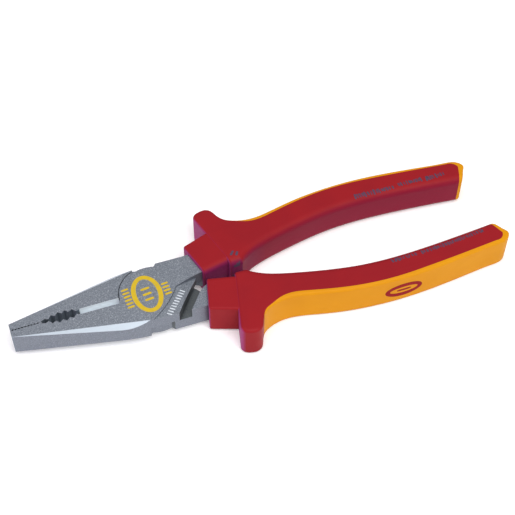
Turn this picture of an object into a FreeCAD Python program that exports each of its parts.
import FreeCAD, Part
import math
import os

# Insulated combination pliers: two forged steel halves crossed on one rivet, each with a moulded
# handle made of an inner liner, a shell with collar and finger guard, and a contrasting inlay.
#
# Frame: X runs along the tool, jaws towards -X and handles towards +X. Y is across the tool and
# Z is up. The origin is in the middle of the tool's bounding box, behind the rivet's axis and
# midway through the joint's thickness. Sketches are drawn about the rivet's axis.
# The two halves are the same forging. The second one is the first turned half a turn about X.

SIZES = {
    # jaws
    "jaw_length": 55.9,            # rivet axis to the tip
    "tip_half_width": 3.1,
    "tip_half_thick": 4.75,
    "joint_half_thick": 5.0,
    "jaw_half_width": 13.1,        # across the jaw where it meets the joint
    "parting_gap": 0.05,           # from the middle plane to each jaw's inner face
    "bevel_slope": 0.85,           # drop of the ground bevel for each millimetre across
    "bevel_start_width": 13.0,     # across the jaw to the bevel where it meets the joint
    "taper_start": 14.0,           # the jaws thin from here to the tip
    # pipe grip and cutters
    "grip_start": 43.9,            # distances from the rivet axis
    "grip_end": 29.0,
    "grip_depth": 2.65,
    "grip_teeth": 5,
    "grip_tooth_height": 1.1,
    "cutter_end": 13.4,
    "cutter_half_width": 1.4,
    "cutter_land": 0.3,            # half the flat left along the cutting edge
    # flat nose serrations
    "serration_pitch": 1.2,
    "serration_depth": 0.35,
    "serration_count": 9,
    # lap joint
    "lap_gap": 0.02,               # from the middle plane to each sliding face
    "lobe_radius": 13.2,
    "seat_radius": 13.3,           # hollow end of the jaw that the other half's lobe turns in
    "lobe_side_radius": 12.5,
    "shoulder_drop": 0.6,          # forged shoulder and tang below the ground face
    "rivet_radius": 4.5,
    "rivet_head_radius": 5.6,
    "rivet_head_depth": 1.2,
    "rivet_clearance": 0.05,
    # tang and handle
    "tang_side": 13.2,
    "tang_end": 124.0,
    "liner_wall": 0.6,
    "collar_half_thick": 6.8,
    "collar_round": 0.9,
    "collar_inner_round": 2.5,     # along the side that faces the other handle
    "grip_half_thick": 7.2,
    "grip_round": 1.2,
    "grip_inner_round": 3.0,       # along the side that faces the other handle
    "handle_length": 144.0,        # rivet axis to the handle's end
}

doc = FreeCAD.newDocument("CombinationPliers")
sheet = doc.addObject("Spreadsheet::Sheet", "Sizes")
for row, (alias, value) in enumerate(SIZES.items(), start=1):
    sheet.set(f"A{row}", alias)
    sheet.set(f"B{row}", str(value))
    sheet.setAlias(f"B{row}", alias)
doc.recompute()


def size(alias):
    """The value in the sheet's cell of that name."""
    return float(sheet.get(alias))


def polar(radius, degrees):
    """A point at a radius and an angle about the rivet's axis."""
    turn = math.radians(degrees)
    return (radius * math.cos(turn), radius * math.sin(turn))


# ---------------------------------------------------------------- sketches and features

def line(*points):
    """Straight edges through the points."""
    ends = [FreeCAD.Vector(*point, 0) for point in points]
    return [Part.LineSegment(a, b) for a, b in zip(ends, ends[1:])]


def arc(start, middle, end):
    """A round edge through three points."""
    return [Part.Arc(*(FreeCAD.Vector(*point, 0) for point in (start, middle, end)))]


def curve(*points):
    """A smooth edge through the points."""
    spline = Part.BSplineCurve()
    spline.interpolate([FreeCAD.Vector(*point, 0) for point in points])
    return [spline]


def new_body(label):
    """An empty body for one piece."""
    body = doc.addObject("PartDesign::Body", label)
    body.Label = label
    return body


def sketch_on(body, name, edges, plane="XY_Plane", height=None):
    """A sketch of the edges on one of the body's own planes, raised by the expression height."""
    sketch = body.newObject("Sketcher::SketchObject", name)
    origin_plane = next(f for f in body.Origin.OriginFeatures if f.Role == plane)
    sketch.AttachmentSupport = [(origin_plane, "")]
    sketch.MapMode = "FlatFace"
    if height:
        sketch.setExpression("AttachmentOffset.Base.z", height)
    sketch.addGeometry(edges)
    return sketch


def solid_step(body, kind, name, sketch, **settings):
    """A pad, pocket, revolution or groove of the sketch. A text setting is an expression."""
    feature = body.newObject("PartDesign::" + kind, name)
    feature.Profile = sketch
    if kind in ("Revolution", "Groove"):
        feature.ReferenceAxis = (sketch, ["V_Axis"])
    for key, value in settings.items():
        if isinstance(value, str):
            feature.setExpression(key, value)
        else:
            setattr(feature, key, value)
    body.Tip = feature
    return feature


# ---------------------------------------------------------------- steel half

SHOULDER = (-16.5, -12.75)         # where the jaw's straight side starts to round over
SHOULDER_CROWN = (-10.6, -13.55)
JAW_END = (-4.9, -size("jaw_half_width"))
LOBE_STEP = (4.7, size("tang_side"))     # where the tang's side steps down to the lobe
TANG_CORNER = (24, size("tang_side"))
NOTCH_START = polar(size("lobe_side_radius"), 107.7)
NOTCH_END = polar(size("lobe_side_radius"), 73.0)
SLOT_CORNER = (6.6, -13.2)         # outer end of the joint plate's slanted edge
SLOT_MIDDLE = (14.9, -2.0)
SLOT_TIP = (17.5, 1.15)            # sharp end of the joint plate between the two tangs
CROTCH = (18.3, 2.4)
TANG_MOUTH = (21.2, 3.0)


def jaw_side():
    """The jaw's outer side, from the tip to the joint."""
    tip = -size("jaw_length")
    gap = -size("parting_gap")
    return (line((tip, gap), (tip, -size("tip_half_width")), SHOULDER)
            + arc(SHOULDER, SHOULDER_CROWN, JAW_END))


def tang_inner_points(offset=0.0):
    """Points along the tang's side that faces the other handle."""
    points = [(30, 5.6), (42, 10.3), (56, 14.4), (70, 17.4), (84, 19.3), (98, 19.9), (112, 19.4),
              (size("tang_end"), 18.5)]
    return [(x, y - offset) for x, y in points]


def tang_outer_points(offset=0.0):
    """Points along the tang's outer side."""
    points = [(32, 14.8), (44, 17.0), (56, 19.9), (70, 22.6), (84, 24.2), (98, 24.6), (112, 23.9),
              (size("tang_end"), 22.7)]
    return [(x, y + offset) for x, y in points]


def tang_outline(inner_start, outer_start, offset=0.0):
    """The tang's two long sides and its round end, as one open run from inner to outer start."""
    inner = tang_inner_points(offset)
    outer = tang_outer_points(offset)
    end_crown = (size("tang_end") + 2.1 + offset, (inner[-1][1] + outer[-1][1]) / 2)
    return (curve(inner_start, *inner)
            + arc(inner[-1], end_crown, outer[-1])
            + curve(*reversed(outer), outer_start))


def lobe_edge():
    """Far edge of the joint plate, from the tang's step round to the parting plane."""
    gap = -size("parting_gap")
    lobe = size("lobe_radius")
    side = size("lobe_side_radius")
    lobe_start = polar(lobe, 111.6)
    lobe_end = (-math.sqrt(lobe ** 2 - gap ** 2), gap)
    return (line(LOBE_STEP, NOTCH_END)
            + arc(NOTCH_END, (0, side), NOTCH_START)
            + line(NOTCH_START, lobe_start)
            + arc(lobe_start, polar(lobe, 146), lobe_end)
            + line(lobe_end, (-size("jaw_length"), gap)))


def plate_outline():
    """Everything above the sliding face: jaw, joint plate and tang."""
    return (jaw_side()
            + line(JAW_END, SLOT_CORNER, SLOT_MIDDLE, SLOT_TIP, CROTCH, TANG_MOUTH)
            + tang_outline(TANG_MOUTH, TANG_CORNER)
            + line(TANG_CORNER, LOBE_STEP)
            + lobe_edge())


def ground_outline():
    """The ground face, which stands above the forged shoulder beside the slot."""
    seam_start = (-3.6, -size("jaw_half_width"))
    seam_middle = (3.85, -7.2)
    seam_end = (9.2, -0.4)
    seam_bend = (14.0, 1.24)
    return (jaw_side()
            + line(JAW_END, seam_start)
            + arc(seam_start, seam_middle, seam_end)
            + line(seam_end, seam_bend, CROTCH, TANG_MOUTH)
            + tang_outline(TANG_MOUTH, TANG_CORNER)
            + line(TANG_CORNER, LOBE_STEP)
            + lobe_edge())


def lower_jaw_outline():
    """The jaw below the sliding face, with the hollow end that the other lobe turns in."""
    gap = -size("parting_gap")
    seat = size("seat_radius")
    seat_start = (JAW_END[0], -math.sqrt(seat ** 2 - JAW_END[0] ** 2))
    seat_end = (-math.sqrt(seat ** 2 - gap ** 2), gap)
    return (jaw_side()
            + line(JAW_END, seat_start)
            + arc(seat_start, polar(seat, 218), seat_end)
            + line(seat_end, (-size("jaw_length"), gap)))


def lower_tang_outline():
    """The tang below the sliding face. Its slanted end wall leaves the slot open."""
    wall_outer = (11.7, size("tang_side"))
    wall_inner = (17.3, 5.9)
    web = (18.5, 4.65)
    return (line(wall_outer, wall_inner, web, TANG_MOUTH)
            + tang_outline(TANG_MOUTH, TANG_CORNER)
            + line(TANG_CORNER, wall_outer))


def shoulder_slope_profile():
    """Wedge that slopes the forged shoulder down towards the handles."""
    shoulder = size("joint_half_thick") - size("shoulder_drop")
    start, end = 10.3, 18.8
    drop = 1.5
    above = size("joint_half_thick") + 0.5
    return line((start, shoulder), (end, shoulder - drop), (end, above), (start, above),
                (start, shoulder))


def pipe_grip_outline():
    """One jaw's share of the toothed opening: valleys on a bow, teeth a step nearer the middle."""
    start = -size("grip_start")
    end = -size("grip_end")
    past_middle = 1
    least_depth = 0.4
    end_depth = 1.2
    bow_start, bow_share = 0.07, 0.75     # the bow is this part of half a sine wave
    steps = 2 * int(size("grip_teeth")) + 1
    points = [(start, past_middle), (start, -least_depth)]
    for step in range(1, steps):
        along = step / steps
        bow = size("grip_depth") * math.sin(math.pi * (bow_share * along + bow_start))
        rise = 0 if step % 2 else size("grip_tooth_height")
        points.append((start + along * (end - start), -max(bow - rise, least_depth)))
    points += [(end, -end_depth), (end, past_middle), (start, past_middle)]
    return line(*points)


def serration_outline():
    """The first notch across the flat nose, next to the tip."""
    gap = -size("parting_gap")
    past_middle = 1
    start = -size("jaw_length") + 0.4
    middle = start + size("serration_pitch") / 2
    end = start + size("serration_pitch")
    return line((start, past_middle), (start, gap), (middle, -size("serration_depth")), (end, gap),
                (end, past_middle), (start, past_middle))


def groove_profile(half_width, land):
    """Two V grooves, one in each face, that leave a land of twice `land` between them."""
    face = size("joint_half_thick") + 0.2
    past_middle = 1
    edges = []
    for side in (1, -1):
        edges += line((past_middle, side * land), (-size("parting_gap"), side * land),
                      (-half_width, side * face), (past_middle, side * face),
                      (past_middle, side * land))
    return edges


def taper_profile():
    """Two wedges that thin the jaw evenly from the joint to the tip."""
    tip = -size("jaw_length") - 1
    face = size("joint_half_thick")
    edges = []
    for side in (1, -1):
        start = (-size("taper_start"), side * face)
        tip_face = (tip, side * size("tip_half_thick"))
        edges += line(start, tip_face, (tip, side * (face + 1)), start)
    return edges


def add_edge_bevels(body):
    """Ground bevels on the jaw's two outer edges: nothing at the tip, widest near the joint."""
    reach = 4.0
    ends = (("Tip", "-Sizes.jaw_length", size("tip_half_width"), size("tip_half_thick")),
            ("Joint", str(JAW_END[0]), size("bevel_start_width"), size("joint_half_thick")))
    for side, side_name in ((1, "Top"), (-1, "Bottom")):
        sections = []
        for end_name, position, start, top in ends:
            corner = (-start, side * top)
            high = (-start, side * (top + 1))
            wide = (-start - reach, side * (top + 1))
            low = (-start - reach, side * (top - reach * size("bevel_slope")))
            sections.append(sketch_on(body, side_name + end_name + "Bevel",
                                      line(corner, high, wide, low, corner),
                                      "YZ_Plane", height=position))
        bevel = body.newObject("PartDesign::SubtractiveLoft", side_name + "EdgeBevel")
        bevel.Profile = sections[0]
        bevel.Sections = sections[1:]
        bevel.Ruled = True
        body.Tip = bevel


def rivet_profile(clearance):
    """Half section of the rivet, grown by the clearance: shank and two countersunk heads."""
    top = size("joint_half_thick")
    shank = size("rivet_radius") + clearance
    head = size("rivet_head_radius") + clearance
    neck = top - size("rivet_head_depth")
    return line((0, top), (head, top), (shank, neck), (shank, -neck), (head, -top), (0, -top), (0, top))


def steel_half(label, rivet_clearance):
    """One forging: jaw, joint plate and tang."""
    body = new_body(label)
    plate = sketch_on(body, "PlateOutline", plate_outline(), height="Sizes.lap_gap")
    solid_step(body, "Pad", "Plate", plate,
               Length="Sizes.joint_half_thick - Sizes.shoulder_drop - Sizes.lap_gap")
    slope = sketch_on(body, "ShoulderSlopeProfile", shoulder_slope_profile(), "XZ_Plane")
    solid_step(body, "Pocket", "ShoulderSlope", slope, Midplane=True,
               Length="4 * Sizes.tang_side")
    ground = sketch_on(body, "GroundOutline", ground_outline(), height="Sizes.lap_gap")
    solid_step(body, "Pad", "GroundFace", ground, Length="Sizes.joint_half_thick - Sizes.lap_gap")
    lower_jaw = sketch_on(body, "LowerJawOutline", lower_jaw_outline(), height="Sizes.lap_gap")
    solid_step(body, "Pad", "LowerJaw", lower_jaw, Reversed=True,
               Length="Sizes.joint_half_thick + Sizes.lap_gap")
    lower_tang = sketch_on(body, "LowerTangOutline", lower_tang_outline(), height="Sizes.lap_gap")
    solid_step(body, "Pad", "LowerTang", lower_tang, Reversed=True,
               Length="Sizes.joint_half_thick - Sizes.shoulder_drop + Sizes.lap_gap")

    grip = sketch_on(body, "PipeGripOutline", pipe_grip_outline(),
                     height="Sizes.joint_half_thick + 1")
    solid_step(body, "Pocket", "PipeGrip", grip, Length="2 * Sizes.joint_half_thick + 2")

    serration = sketch_on(body, "SerrationOutline", serration_outline(),
                          height="Sizes.joint_half_thick + 1")
    solid_step(body, "Pocket", "Serration", serration, Length="2 * Sizes.joint_half_thick + 2")
    doc.recompute()
    row = body.newObject("PartDesign::LinearPattern", "SerrationRow")
    row.Originals = [doc.getObject(body.Tip.Name)]
    row.Direction = (serration, ["H_Axis"])
    row.setExpression("Length", "Sizes.serration_pitch * (Sizes.serration_count - 1)")
    row.Occurrences = int(size("serration_count"))
    body.Tip = row

    cutter = sketch_on(body, "CutterOutline",
                       groove_profile(size("cutter_half_width"), size("cutter_land")),
                       "YZ_Plane", height="-Sizes.grip_end")
    solid_step(body, "Pocket", "CutterBevels", cutter, Reversed=True,
               Length="Sizes.grip_end - Sizes.cutter_end")

    taper = sketch_on(body, "TaperProfile", taper_profile(), "XZ_Plane")
    solid_step(body, "Pocket", "JawTaper", taper, Reversed=True, Length="3 * Sizes.jaw_half_width")
    add_edge_bevels(body)

    hole = sketch_on(body, "RivetHole", rivet_profile(rivet_clearance), "XZ_Plane")
    solid_step(body, "Groove", "RivetSeat", hole, Angle=360)
    return body


def pivot_rivet():
    """Solid rivet with both heads set flush with the joint's faces."""
    body = new_body("pivot_rivet")
    profile = sketch_on(body, "RivetProfile", rivet_profile(0), "XZ_Plane")
    solid_step(body, "Revolution", "Rivet", profile, Angle=360)
    return body


# ---------------------------------------------------------------- handle

COLLAR_INNER = (21.4, 1.3)
COLLAR_OUTER = (17.4, 16.6)
GUARD_INNER = (32.7, 1.9)
GUARD_OUTER = (25.8, 29.2)
GUARD_TIP = [(26.9, 31.6), (29.2, 32.6), (31.6, 32.8), (33.6, 31.8)]
THROAT_BACK = (37.7, 2.2)
GRIP_OUTER = [(35.2, 28.8), (36.9, 25.9), (41.0, 23.3), (49, 22.0), (56, 23.1), (66, 25.4), (80, 27.4),
              (95, 28.0), (110, 27.2), (125, 25.6)]
END_CUT = [(136.5, 24.4), (140.6, 23.8), (143.1, 22.1), (size("handle_length"), 19.9), (143.1, 18.2),
           (141.8, 15.9)]           # round the outer corner and down the slanted end
END_CORNER = (139.9, 12.7)
GRIP_INNER = [(42.9, 5.8), (50.3, 8.6), (58.2, 10.7), (66, 12.5), (80, 14.9), (95, 15.7), (110, 15.2),
              (125, 14.1)]
INLAY_EDGE = [(36.6, 30.5), (36.2, 27), (38, 24.2), (41, 22.6), (45.5, 20.7), (50, 20.2), (56, 21.3),
              (65, 23.5), (75, 25.4), (85, 26.4), (95, 26.5), (106, 25.8), (118, 24.8), (129, 23.7),
              (137, 22.9)]
INLAY_END_INNER = (137.5, 10.0)
INLAY_END_OUTER = (141.2, 19.8)


def grip_outline():
    """Guard and grip in plan: two smooth sides that meet in a corner at the end, and a straight front."""
    return (line(THROAT_BACK, GUARD_INNER, GUARD_OUTER)
            + curve(GUARD_OUTER, *GUARD_TIP, *GRIP_OUTER, *END_CUT, END_CORNER)
            + curve(END_CORNER, *reversed(GRIP_INNER), THROAT_BACK))


def collar_outline():
    """Collar in plan. Its far end runs on inside the guard."""
    return line(COLLAR_INNER, COLLAR_OUTER, (31, 21.6), (35, 4.4), COLLAR_INNER)


def inlay_outline(outside):
    """The plan area on one side of the inlay's inner face, running past the grip's outline."""
    first, last = INLAY_EDGE[0], INLAY_EDGE[-1]
    far_x, far_y = 150, 40
    near_x, near_y = 10, -5
    edge = (curve(*INLAY_EDGE)
            + arc(last, (140.1, 21.9), INLAY_END_OUTER)
            + line(INLAY_END_OUTER, INLAY_END_INNER))
    if outside:
        return edge + line(INLAY_END_INNER, (far_x, INLAY_END_INNER[1]), (far_x, far_y),
                           (first[0], far_y), first)
    return edge + line(INLAY_END_INNER, (INLAY_END_INNER[0], near_y), (near_x, near_y),
                       (near_x, far_y), (first[0], far_y), first)


def liner_outline():
    """Plan of the liner: the tang's outline grown by the liner's wall, cut off at the collar."""
    wall = size("liner_wall")
    inner_start = (23.1, 2.9)
    outer_start = (20.1, TANG_CORNER[1] + wall)
    corner = (TANG_CORNER[0], TANG_CORNER[1] + wall)
    return (tang_outline(inner_start, corner, wall)
            + line(corner, outer_start, inner_start))


def add_grip(body):
    """Guard and grip: a large round along the side that faces the other handle, a small one elsewhere."""
    plan = sketch_on(body, "GripOutline", grip_outline(), height="-Sizes.grip_half_thick")
    pad = solid_step(body, "Pad", "Grip", plan, Length="2 * Sizes.grip_half_thick")
    doc.recompute()
    inner = add_fillet(body, pad, "InnerRound", "Sizes.grip_inner_round", face_edges(pad, facing_inward))
    doc.recompute()
    add_fillet(body, inner, "GripRound", "Sizes.grip_round",
               face_edges(inner, lambda box: not facing_inward(box)))


def facing_inward(box):
    """Whether the edge in that box belongs to the side that faces the other handle."""
    guard_side = box.XMin > GUARD_INNER[0] - 1 and box.YMax < THROAT_BACK[1] + 1
    grip_side = box.XLength > size("handle_length") / 2 and box.YMax < GUARD_OUTER[1] - 5
    return guard_side or grip_side


def face_edges(feature, wanted):
    """Names of the wanted edges that lie in the grip's top or bottom face."""
    height = size("grip_half_thick")
    names = []
    for number, edge in enumerate(feature.Shape.Edges, start=1):
        levels = [vertex.Z for vertex in edge.Vertexes]
        in_face = all(abs(abs(level) - height) < 1e-6 for level in levels)
        if in_face and abs(levels[0] - levels[-1]) < 1e-6 and wanted(edge.BoundBox):
            names.append(f"Edge{number}")
    return names


def add_fillet(body, base, name, radius, edges):
    """Rounds the named edges of the base feature. The radius is an expression."""
    fillet = body.newObject("PartDesign::Fillet", name)
    fillet.Base = (base, edges)
    fillet.setExpression("Radius", radius)
    body.Tip = fillet
    return fillet


def add_collar_fillets(body, pad):
    """Rounds the collar like the grip, as far back as the edges meet the guard."""
    inner = add_fillet(body, pad, "CollarInnerRound", "Sizes.collar_inner_round",
                       collar_edges(pad, along_inner_side))
    doc.recompute()
    add_fillet(body, inner, "CollarRound", "Sizes.collar_round",
               collar_edges(inner, lambda box: not along_inner_side(box)))


def along_inner_side(box):
    """Whether the edge in that box runs along the collar's side that faces the other handle."""
    return box.XLength > 5 and box.YMax < COLLAR_OUTER[1] / 2


def collar_edges(feature, wanted):
    """Names of the wanted edges that start at the collar's front."""
    front = max(COLLAR_INNER[0], COLLAR_OUTER[0]) + 0.1
    return [f"Edge{number}" for number, edge in enumerate(feature.Shape.Edges, start=1)
            if edge.BoundBox.XMin < front and wanted(edge.BoundBox)]


def add_tang_seat(body):
    """The hollow that the tang fills, open towards the joint."""
    mouth_x = 10                   # forward of the collar, so that the hollow runs out of it
    tang = (tang_outline(TANG_MOUTH, TANG_CORNER)
            + line(TANG_CORNER, (mouth_x, TANG_CORNER[1]), (mouth_x, CROTCH[1]), CROTCH, TANG_MOUTH))
    cavity = sketch_on(body, "TangOutline", tang, height="Sizes.joint_half_thick")
    solid_step(body, "Pocket", "TangSeat", cavity,
               Length="2 * Sizes.joint_half_thick - Sizes.shoulder_drop")


def handle_shell(label):
    """Collar, guard and grip in one moulding, hollow for the liner and stepped for the inlay."""
    body = new_body(label)
    add_grip(body)
    inlay = sketch_on(body, "InlaySeat", inlay_outline(outside=True),
                      height="Sizes.grip_half_thick + 1")
    solid_step(body, "Pocket", "InlayStep", inlay, Length="2 * Sizes.grip_half_thick + 2")
    collar = sketch_on(body, "CollarOutline", collar_outline(), height="-Sizes.collar_half_thick")
    pad = solid_step(body, "Pad", "Collar", collar, Length="2 * Sizes.collar_half_thick")
    doc.recompute()
    add_collar_fillets(body, pad)
    cavity = sketch_on(body, "LinerOutline", liner_outline(),
                       height="Sizes.joint_half_thick + Sizes.liner_wall")
    solid_step(body, "Pocket", "LinerSeat", cavity,
               Length="2 * Sizes.joint_half_thick - Sizes.shoulder_drop + 2 * Sizes.liner_wall")
    add_tang_seat(body)
    return body


def handle_inlay(label):
    """The contrasting strip along the grip's outer side and round its end."""
    body = new_body(label)
    add_grip(body)
    rest = sketch_on(body, "ShellSide", inlay_outline(outside=False),
                     height="Sizes.grip_half_thick + 1")
    solid_step(body, "Pocket", "InlayOnly", rest, Length="2 * Sizes.grip_half_thick + 2")
    return body


def handle_liner(label):
    """Inner insulating layer, moulded on the tang."""
    body = new_body(label)
    plan = sketch_on(body, "LinerOutline", liner_outline(),
                     height="Sizes.shoulder_drop - Sizes.joint_half_thick - Sizes.liner_wall")
    solid_step(body, "Pad", "Liner", plan,
               Length="2 * Sizes.joint_half_thick - Sizes.shoulder_drop + 2 * Sizes.liner_wall")
    add_tang_seat(body)
    return body


# ---------------------------------------------------------------- assembly

# The outlines above are drawn about the rivet's axis. This moves the tool's middle to the origin.
TO_MIDDLE = FreeCAD.Vector((size("jaw_length") - size("handle_length")) / 2, 0, 0)
UPRIGHT = FreeCAD.Placement(TO_MIDDLE, FreeCAD.Rotation())
HALF_TURN = FreeCAD.Placement(TO_MIDDLE, FreeCAD.Rotation(FreeCAD.Vector(1, 0, 0), 180))

pieces = [
    steel_half("lower_jaw_half", 0.0),
    pivot_rivet(),
    handle_liner("upper_handle_liner"),
    handle_shell("upper_handle_shell"),
    handle_inlay("upper_handle_inlay"),
]
turned_pieces = [
    steel_half("upper_jaw_half", size("rivet_clearance")),
    handle_liner("lower_handle_liner"),
    handle_shell("lower_handle_shell"),
    handle_inlay("lower_handle_inlay"),
]
for piece in pieces:
    piece.Placement = UPRIGHT
for piece in turned_pieces:
    piece.Placement = HALF_TURN
doc.recompute()

for item in doc.Objects:
    if "Invalid" in item.State or "Error" in item.State:
        raise RuntimeError(f"{item.Name} failed: {item.State}")
for piece in pieces + turned_pieces:
    shape = piece.Shape
    if shape.isNull() or not shape.isValid() or len(shape.Solids) != 1:
        raise RuntimeError(f"{piece.Label} isn't one valid solid")

os.makedirs("parts", exist_ok=True)
for piece in pieces + turned_pieces:
    piece.Shape.exportStep(os.path.join("parts", piece.Label + ".step"))
    box = piece.Shape.BoundBox
    print(f"{piece.Label}: volume {piece.Shape.Volume:.0f} mm3, x {box.XMin:.1f} to {box.XMax:.1f}, "
          f"y {box.YMin:.1f} to {box.YMax:.1f}, z {box.ZMin:.1f} to {box.ZMax:.1f}")
